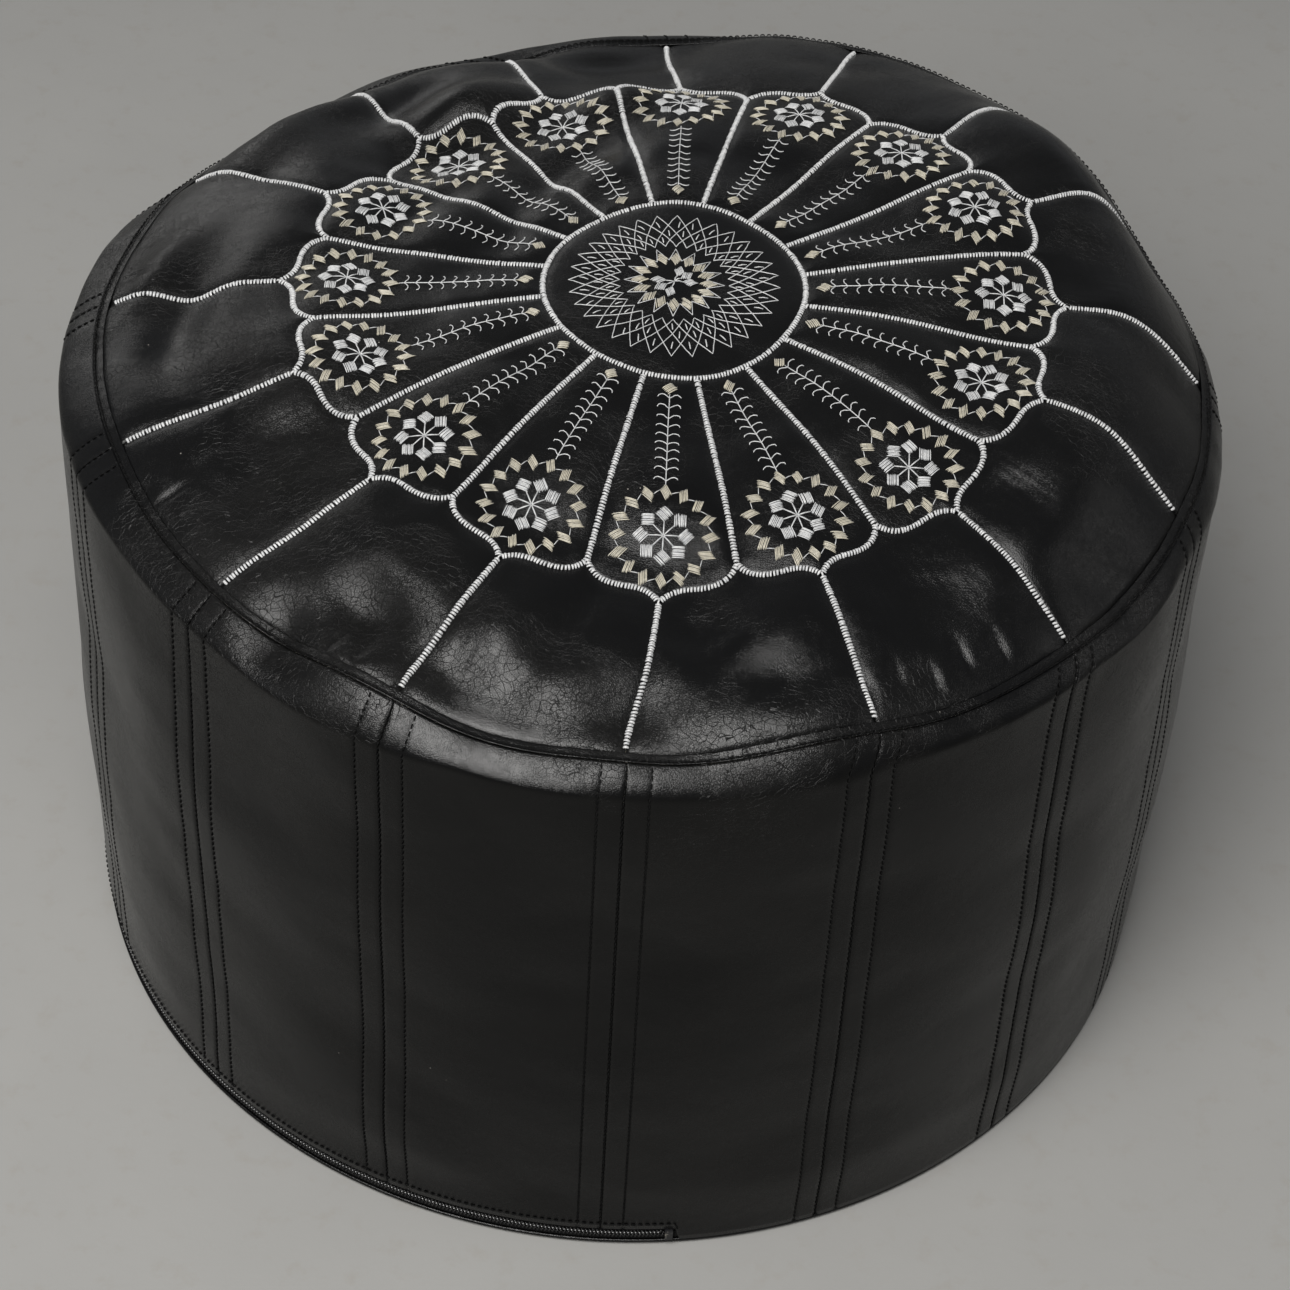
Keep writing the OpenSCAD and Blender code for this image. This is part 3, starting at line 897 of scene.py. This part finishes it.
def make_seams():
    turn = np.linspace(0, 2 * math.pi, 721)
    off = np.linspace(-PITCH / 2, PITCH / 2, 241)
    spoke = np.linspace(MEDALLION + 1.2 * MM, VALLEY - 0.6 * MM, 120)
    radii = np.linspace(CUSP + 1 * MM, RIM - 2.2 * MM, 120)
    whip_stitches("whip_stitch_ring", flat_line(turn, np.full(721, MEDALLION)))
    for k in range(PANELS):
        at = petal_angle(k)
        whip_stitches(f"whip_stitch_spoke_{k + 1:02d}", flat_line(at + PITCH / 2, spoke))
        whip_stitches(f"whip_stitch_arch_{k + 1:02d}", flat_line(at + off, arch(off)))
        bent = at + radial_drift(k, radii) / radii
        whip_stitches(f"whip_stitch_radial_{k + 1:02d}", flat_line(bent, radii))


# ---------------------------------------------------------------- embroidery
def turned(points, angle, out=0.0):
    """Flat points given as (sideways, outwards), moved out and turned to a direction."""
    points = np.asarray(points, float)
    side, away = points[..., 0], points[..., 1] + out
    x = away * math.cos(angle) - side * math.sin(angle)
    y = away * math.sin(angle) + side * math.cos(angle)
    return np.stack([x, y], -1)


def with_lift(flat, lifts):
    lifts = np.broadcast_to(np.asarray(lifts, float), flat.shape[:-1])
    return np.concatenate([flat, lifts[..., None]], -1)


def spot(angle, radius, across=0.0):
    """A flat point, radius mm out along a direction and across mm to its left."""
    return (radius * math.cos(angle) * MM - across * math.sin(angle) * MM,
            radius * math.sin(angle) * MM + across * math.cos(angle) * MM)


def diamond(angle, inner, middle, outer, wide, lean=0.0):
    """A diamond's corners along a direction, in mm: inner, first side, outer, other side."""
    return np.array([spot(angle, inner), spot(angle, middle + lean, wide), spot(angle, outer),
                     spot(angle, middle - lean, -wide)])


def satin(corners, threads):
    """Parallel threads that fill a diamond, laid along its first side."""
    inner, right, _, left = np.asarray(corners, float)
    one, two = right - inner, left - inner
    share = (np.arange(threads) + 0.5) / threads + rng.normal(0, 0.016, threads)
    start = inner + share[:, None] * two
    t = np.array([-0.03, 0.12, 0.5, 0.88, 1.03])
    jitter = rng.normal(0, 0.035, (threads, 1))
    flat = start[:, None] + (t + jitter)[..., None] * one
    lifts = np.array([-0.05, 0.3, 0.42, 0.3, -0.05]) * MM
    cross = abs(one[0] * two[1] - one[1] * two[0]) / np.linalg.norm(one)
    return tubes(with_lift(flat, lifts), cross / threads * 0.42, 0.22 * MM, 5, 0.5)


def thin(points, width=0.24 * MM, lift=0.28 * MM):
    """One thin thread along flat points, dipping into the leather at its ends."""
    points = np.asarray(points, float)
    lifts = np.full(len(points), lift)
    lifts[[0, -1]] = 0.05 * MM
    return tubes(with_lift(points, lifts)[None], width, 0.24 * MM, 5, 0.8)


# Sizes of the embroidery, in mm from the pouf's axis, and for a rosette from its own middle.
ROSETTE_AT = 147 * MM
STEM = (70.5, 123.6)
BRANCHES = 10
BRANCH_START = 72.4
BRANCH_PITCH = 5.45
SQUARE = (5.9, 10.2, 14.4)
SQUARE_HALF = 0.94 * math.pi / 8
DIAMOND = (15.7, 19.8, 24.9)
DIAMOND_HALF = 2.5
DIAMOND_LEAN = 0.8


def petal_embroidery(k):
    angle = petal_angle(k)
    silver, cream = [], []

    def placed(points):
        """Points of the rosette, given like those round the axis, on this petal."""
        return turned(np.asarray(points)[:, ::-1], angle, ROSETTE_AT)

    tip = np.array([(0, 63.2), (3.1, 67.2), (0, 70.9), (-3.1, 67.2)]) * MM + rng.normal(0, 0.2 * MM, (4, 2))
    cream.append(satin(turned(tip[[2, 1, 0, 3]], angle), 6))
    silver.append(thin(turned(np.array([(0, y) for y in np.linspace(*STEM, 14)]) * MM, angle)))
    for j in range(BRANCHES):
        at = BRANCH_START + BRANCH_PITCH * j + rng.normal(0, 0.15)
        for side in (-1, 1):
            branch = np.array([(0, at), (0.9, at - 0.7), (2.2, at - 1.7), (3.5, at - 2.0),
                               (4.7, at - 1.5), (5.1, at - 0.8)]) + rng.normal(0, 0.12, (6, 2))
            branch[0] = (0, at)
            silver.append(thin(turned(branch * (side * MM, MM), angle)))
    spin = rng.normal(0, 0.03)
    for a in spin + np.arange(8) * math.pi / 4:
        silver.append(thin(placed([spot(a, r) for r in (0.2, 3, 6.3)]), 0.32 * MM, 0.34 * MM))
        low, middle, high = SQUARE
        square = [spot(a, low), spot(a + SQUARE_HALF, middle), spot(a, high), spot(a - SQUARE_HALF, middle)]
        silver.append(satin(placed(square), 8))
    sides = []
    for a in spin + np.arange(16) * math.pi / 8:
        low, middle, high = DIAMOND
        middle += rng.normal(0, 0.2)
        corners = placed(diamond(a, low, middle, high, DIAMOND_HALF, DIAMOND_LEAN))
        cream.append(satin(corners, 6))
        sides.append((corners[1], corners[3]))
    for j in range(16):
        a, b = sides[j][0], sides[(j + 1) % 16][1]
        silver.append(thin([a, (a + b) / 2, b], 0.2 * MM, 0.22 * MM))
    thread_piece(f"embroidery_silver_{k + 1:02d}", silver, SILVER)
    thread_piece(f"embroidery_cream_{k + 1:02d}", cream, CREAM)


# The medallion: a lattice of crossing arcs between two circles, with three rows of dashes in it.
LATTICE = (24.5, 47.5)
LATTICE_ARCS = 32
LEAF_OPEN = math.radians(14)
DASH_ROWS = [(27.4, 31.0, 0.0), (32.2, 36.2, 0.5), (38.6, 42.8, 0.0)]
STAR_PEAK = 22.6
STAR_VALLEY = 14.6
CENTRE_SQUARES = (0, 40, 75, 180, 215, 255)


def medallion_embroidery():
    lattice, silver, cream = [], [], []
    inner, outer = LATTICE
    step = 2 * math.pi / LATTICE_ARCS
    t = np.linspace(0, 1, 12)
    for j in range(LATTICE_ARCS):
        for side in (-1, 1):
            radius = inner + (outer - inner) * t + rng.normal(0, 0.12, 12)
            bend = 2 * step - LEAF_OPEN * (1 - t) - (2 * step - LEAF_OPEN) * (1 - t) ** 2
            lattice.append(thin(flat_line(j * step + side * bend, radius * MM), 0.22 * MM))
    for low, high, shift in DASH_ROWS:
        for j in range(LATTICE_ARCS):
            if rng.uniform() < 0.12:
                continue
            turn = (j + shift) * step + rng.normal(0, 0.012)
            lean = rng.normal(0, 0.02)
            dash = [spot(turn, low), spot(turn + lean / 2, (low + high) / 2), spot(turn + lean, high)]
            lattice.append(thin(dash, 0.3 * MM, 0.36 * MM))
    for j in range(16):
        a, b = j * math.pi / 8, (j + 1) * math.pi / 8
        cream.append(satin(diamond(a, 11, 15.4, 19.7, 2.6), 7))
        valley = spot((a + b) / 2, STAR_VALLEY)
        lattice.append(thin([spot(a, STAR_PEAK), valley], 0.25 * MM))
        lattice.append(thin([valley, spot(b, STAR_PEAK)], 0.25 * MM))
    for degrees in CENTRE_SQUARES:
        a = math.radians(degrees)
        silver.append(satin(diamond(a, 3.6, 7.2, 10.4, 2.5), 7))
        silver.append(thin([spot(a, 0.3), spot(a, 2.0, 0.3), spot(a, 3.8)], 0.3 * MM))
    thread_piece("embroidery_lattice", lattice, SILVER)
    thread_piece("embroidery_centre_silver", silver, SILVER)
    thread_piece("embroidery_centre_cream", cream, CREAM)


# ---------------------------------------------------------------- black stitching of the seams
BLACK_STITCH = 2.6 * MM
BLACK_PITCH = 3.3 * MM
BLACK_THICK = 0.36 * MM


def stitch_run(theta, rho, lift=0.1 * MM):
    """Lockstitches along a line of the cover: short threads whose ends go into the leather."""
    line = leather(theta, rho)
    run = np.concatenate([[0], np.cumsum(np.linalg.norm(np.diff(line, axis=0), axis=1))])
    count = max(int(run[-1] / BLACK_PITCH), 1)
    middle = (np.arange(count) + 0.5) * run[-1] / count
    at = middle[:, None] + np.array([-0.5, -0.3, 0, 0.3, 0.5]) * BLACK_STITCH
    lifts = np.array([-0.4, 0.15, 0.3, 0.15, -0.4]) * MM + lift
    return np.interp(at, run, theta), np.interp(at, run, rho), np.broadcast_to(lifts, at.shape)


def stitch_piece(name, runs):
    """Black topstitches; each thread's section is drawn in its own plane."""
    theta, rho, lift = (np.concatenate(parts) for parts in zip(*runs))
    turn = full_turn(5)[None, None, :, None]
    centre = lifted(theta, rho, lift)
    above = unit(lifted(theta, rho, lift + 0.3 * MM) - centre)
    beside = unit(np.cross(np.gradient(centre, axis=1), above))
    size = np.array([0.5, 1, 1, 1, 0.5])[None, :, None, None] * BLACK_THICK
    ring = beside[:, :, None] * np.cos(turn) + above[:, :, None] * np.sin(turn)
    points = centre[:, :, None] + ring * size
    make_piece(name, points, copied_rings(5, 5, len(theta)), BLACK_THREAD)


def make_topstitches():
    for k in range(PANELS):
        seam = petal_angle(k)
        reach = float(wall_end(np.array([seam]))[0])
        rho = np.linspace(WALL_START + 1 * MM, reach - 2 * MM, 200)
        runs = [stitch_run(np.full(200, seam + off / RIM), rho) for off in (-TOPSTITCH, 0.0, TOPSTITCH)]
        stitch_piece(f"side_seam_stitches_{k + 1:02d}", runs)
    turn = np.linspace(0, 2 * math.pi, 2000)
    stitch_piece("rim_stitches", [stitch_run(turn, np.full(2000, WALL_START - 0.9 * MM), 0.7 * MM)])
    hem = turn[(turn > ZIP_START) & (turn < ZIP_END)]
    stitch_piece("hem_stitches", [stitch_run(hem, wall_end(hem) - 4 * MM)])


# ---------------------------------------------------------------- the zip
def round_axis(r, theta, z):
    return np.stack(np.broadcast_arrays(r * np.cos(theta), r * np.sin(theta), z), -1)


def coil_row_piece(name, low, high, phase):
    """One row of wound monofilament: a flat helix round the row's middle line."""
    wire = 0.4 * MM
    margin = math.radians(1.45)
    per_turn, sides = 12, 6
    middle = COIL_OUT - COIL_HALF
    start = ZIP_START + margin
    turns = int((ZIP_END - margin - start) * middle / COIL_PITCH)
    t = np.arange(turns * per_turn + 1) / per_turn
    theta = start + (t + phase) * COIL_PITCH / middle
    wind = t * 2 * math.pi
    r = middle + (COIL_HALF - wire) * np.cos(wind)
    z = (low + high) / 2 + ((high - low) / 2 - wire) * np.sin(wind)
    centre = round_axis(r, theta, z)
    ahead = unit(np.gradient(centre, axis=0))
    beside = unit(np.cross(ahead, round_axis(np.cos(wind), theta, np.sin(wind))))
    outward = np.cross(beside, ahead)
    turn = full_turn(sides)[None, :, None]
    points = centre[:, None] + wire * (outward[:, None] * np.cos(turn) + beside[:, None] * np.sin(turn))
    make_piece(name, points, capped_rings(len(t), sides), COIL, "zip_coil")


def make_coil_glint_dots():
    """Painted highlight: light threads, one in each turn of the upper coil row, standing in for the glints
    on the coil.
    """
    margin = math.radians(1.6)
    radius = COIL_OUT - 0.25 * MM
    start = ZIP_START + margin
    count = int((ZIP_END - margin - start) * radius / COIL_PITCH)
    theta = (start + np.arange(count) * COIL_PITCH / radius)[:, None, None]
    z = ((coil_low.z + coil_high.z) / 2 + np.linspace(-0.45, 0.45, 5) * MM)[None, :, None]
    size = 0.3 * MM * np.array([0.35, 0.9, 1, 0.9, 0.35])[None, :, None]
    turn = full_turn(6)[None, None, :]
    out = radius + size * np.cos(turn)
    along = size * np.sin(turn)
    points = np.stack(np.broadcast_arrays(out * np.cos(theta) - along * np.sin(theta),
                                          out * np.sin(theta) + along * np.cos(theta), z), -1)
    # silver threads as painted highlight dots for the coil's glints
    make_piece("zip_coil_glint_dots", points, copied_rings(5, 6, count), SILVER)


def make_tape(name, low, high):
    """A woven tape upright round the foot, ribbed on its face."""
    steps, around = 24, 360
    face = COIL_OUT - TAPE_BEHIND
    z = np.linspace(low, high, steps)
    rib = 0.07 * MM * np.sin(np.arange(steps) * math.pi / 2)
    r = np.concatenate([face - 0.1 * MM + rib, np.full(steps, face - TAPE_THICK)])
    theta = np.linspace(ZIP_START, ZIP_END, around)[:, None]
    points = round_axis(r[None], theta, np.concatenate([z, z[::-1]])[None])
    make_piece(name, points, capped_rings(around, 2 * steps), TAPE, "zip_tape")


def make_bottom_panel():
    """The round base with its turned-up edge, slightly quilted by the lining under it."""
    around = 256
    bend = 2.6 * MM
    radii = np.linspace(0.002, FOOT - 6 * MM, 30)
    section = [(r, 0.0) for r in radii]
    section += [(FOOT - bend + bend * math.sin(a), bend - bend * math.cos(a))
                for a in np.linspace(0, math.pi / 2, 8)]
    section += [(FOOT, TURN_UP - 0.4 * MM), (FOOT - 0.5 * MM, TURN_UP), (FOOT - SKIN, TURN_UP),
                (FOOT - SKIN, SKIN + 1 * MM), (FOOT - SKIN - 1 * MM, SKIN)]
    section += [(r, SKIN) for r in radii[::-1] if r < FOOT - 7 * MM]
    theta = full_turn(around)
    r, z = (np.array(side)[:, None] for side in zip(*section))
    quilt = 0.25 * MM * np.sin(theta * 16) ** 2 * smooth_step(r, 0.05, 0.2)
    z = z + quilt * (z < 0.1 * MM) * (r < FOOT - 8 * MM)
    faces = capped_rings(len(section), around, flip=True)
    make_piece("bottom_panel", round_axis(r, theta, z), faces, LEATHER, "leather")


def cad_metal(names):
    """The zip's metal keeps its CAD shape, in worn lacquer."""
    for name in names:
        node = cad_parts[name]
        node.data.materials.clear()
        node.data.materials.append(METAL)


# ---------------------------------------------------------------- inside
def inner_shape(depth, around=160, top_rows=44, wall_rows=60):
    """The leather's inside, moved in by depth, as rings from the middle of the top to the floor."""
    top = np.linspace(0.002, RIM - 5 * MM, top_rows)
    wall = np.linspace(WALL_START + 6 * MM, WALL_START + SHOULDER_ARC + WALL_TOP - 14 * MM, wall_rows)
    rho = np.concatenate([top, wall])[:, None]
    theta = full_turn(around)[None, :]
    rho, theta = rho + 0 * theta, theta + 0 * rho
    shape = leather(theta, rho, False)
    flat = np.hypot(shape[..., 0], shape[..., 1])
    inward = np.where(rho > RIM, depth + 14 * MM, depth * rho / RIM * 2)
    scale = np.maximum(flat - inward, 0.001) / flat
    lower = np.where(rho > RIM, 4 * MM, depth + 3 * MM)
    z = np.maximum(shape[..., 2] - lower, SKIN + 1.6 * MM + depth * 0.3)
    return np.stack([shape[..., 0] * scale, shape[..., 1] * scale, z], -1)


def inside_piece(name, points, material, slot):
    piece = make_piece(name, points, capped_rings(*points.shape[:2]), material, slot)


def make_inside():
    bag = inner_shape(3 * MM)
    theta = np.arctan2(bag[..., 1], bag[..., 0])
    for i, a in enumerate(rng.normal(size=(6, 2))[:, 0]):
        bag[..., 2] -= 0.25 * MM * (1 + np.sin(theta * (5 + 3 * i) + a * 3)) * (bag[..., 2] > 0.05)
    inside_piece("inner_bag", bag, BAG_CLOTH, "bag_cloth")
    core = inner_shape(9 * MM, 120, 30, 44)
    lumps = np.zeros(core.shape[:2])
    for _ in range(14):
        wave = rng.normal(size=3) * 60
        lumps += np.sin(core @ wave + rng.uniform(0, 6)) / 14
    core *= (1 + 0.02 * (lumps - 0.6))[..., None]
    core[..., 2] = np.maximum(core[..., 2], SKIN + 3.2 * MM)
    inside_piece("filling", core, STUFFING, "filling")


# ---------------------------------------------------------------- stage
def make_stage():
    n = Nodes("pale_floor")
    mottle = n.noise(2.5, 5.0, 0.6)
    grit = n.noise(60, 4.0, 0.65)
    color = n.mix(n.remap(mottle, 0.3, 0.7, 0, 1), rgb(0.18, 0.179, 0.172), rgb(0.162, 0.161, 0.155))
    color = n.mix(n.remap(grit, 0.55, 0.75, 0, 0.35), color, rgb(0.15, 0.139, 0.122))
    n.surface(color, n.remap(grit, 0.3, 0.7, 0.8, 0.93), n.bumped(grit, 0.0006, 0.3), IOR=1.2)
    mesh = bpy.data.meshes.new("floor")
    half = 6.0
    corners = [(-half, -half, 0), (half, -half, 0), (half, half, 0), (-half, half, 0)]
    mesh.from_pydata(corners, [], [(0, 1, 2, 3)])
    mesh.materials.append(n.material)
    add_object("floor", mesh)


def area_light(name, place, aim, width, depth, power, color):
    data = bpy.data.lights.new(name, "AREA")
    data.shape = "RECTANGLE"
    data.size = width
    data.size_y = depth
    data.energy = power
    data.color = color
    light = add_object(name, data)
    light.location = place
    light.rotation_euler = (Vector(aim) - Vector(place)).to_track_quat("-Z", "Y").to_euler()


def make_lights():
    bpy.context.scene.view_settings.view_transform = "Standard"
    world = bpy.data.worlds.new("studio")
    world.use_nodes = True
    sky = world.node_tree.nodes["Background"].inputs
    sky["Color"].default_value = rgb(0.95, 0.97, 1.0)
    sky["Strength"].default_value = 0.34
    bpy.context.scene.world = world
    area_light("overhead", (-0.55, -1.35, 2.35), (0, 0, 0.2), 1.4, 1.9, 165, (1.0, 0.985, 0.965))
    area_light("back_card", (-1.6, 2.6, 1.0), (0, 0, 0.3), 1.6, 1.0, 10, (1.0, 0.98, 0.95))
    area_light("fill_left", (-2.6, -0.6, 1.4), (0, 0, 0.2), 0.8, 1.2, 3, (0.95, 0.97, 1.0))
    area_light("fill_right", (2.6, -0.2, 1.4), (0, 0, 0.2), 0.8, 1.2, 6, (1.0, 0.98, 0.95))


# ---------------------------------------------------------------- build
def build():
    simulate_slack()
    make_medallion()
    for k in range(PANELS):
        make_petal(k)
        make_top_panel(k)
        make_side_panel(k)
        petal_embroidery(k)
    make_rim_lip()
    make_seams()
    medallion_embroidery()
    make_topstitches()
    coil_row_piece("zip_coil_upper", coil_low.z, coil_high.z, 0.0)
    coil_row_piece("zip_coil_lower", coil_under.z, 2 * ZIP_Z - coil_low.z, 0.5)
    # painted highlight: a row of light dots for the coil's glints
    make_coil_glint_dots()
    make_tape("zip_tape_upper", tape_low.z, tape_high.z)
    make_tape("zip_tape_lower", tape_under.z, ZIP_Z - 0.6 * MM)
    make_bottom_panel()
    cad_metal(["zip_stops", "zip_slider", "zip_pull"])
    make_inside()
    make_stage()
    make_lights()


build()
